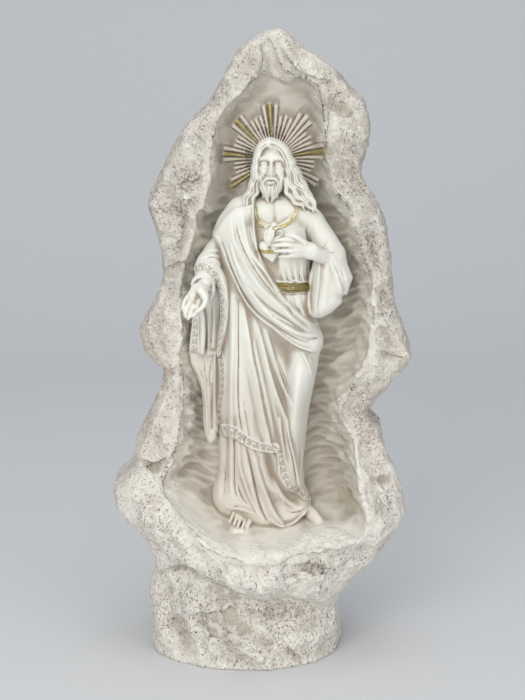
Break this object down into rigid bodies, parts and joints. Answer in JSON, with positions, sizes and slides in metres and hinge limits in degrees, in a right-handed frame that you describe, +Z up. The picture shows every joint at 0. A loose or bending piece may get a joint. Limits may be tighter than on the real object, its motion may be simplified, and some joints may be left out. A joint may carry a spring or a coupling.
{
  "type": "religious statuette in a rock niche",
  "caption": "Cast statuette of a robed, bearded figure with a rayed halo, hand on the heart, standing in a rough rock niche on a rock base.",
  "frame": {"origin": "centre of the standing footprint, on the flat underside", "axes": "+Z up, +X to the right of someone looking at the figure's front, -Y towards that viewer"},
  "size_m": [0.1955, 0.117, 0.4012],
  "materials": {
    "cast_resin": "matt ivory marble-resin, warm brown-grey wash in the hollows, gold paint on some rays, the neckline, the heart's band and the belt"
  },
  "bodies": {
    "root": {"statuette": "cast_resin"}
  },
  "joints": []
}
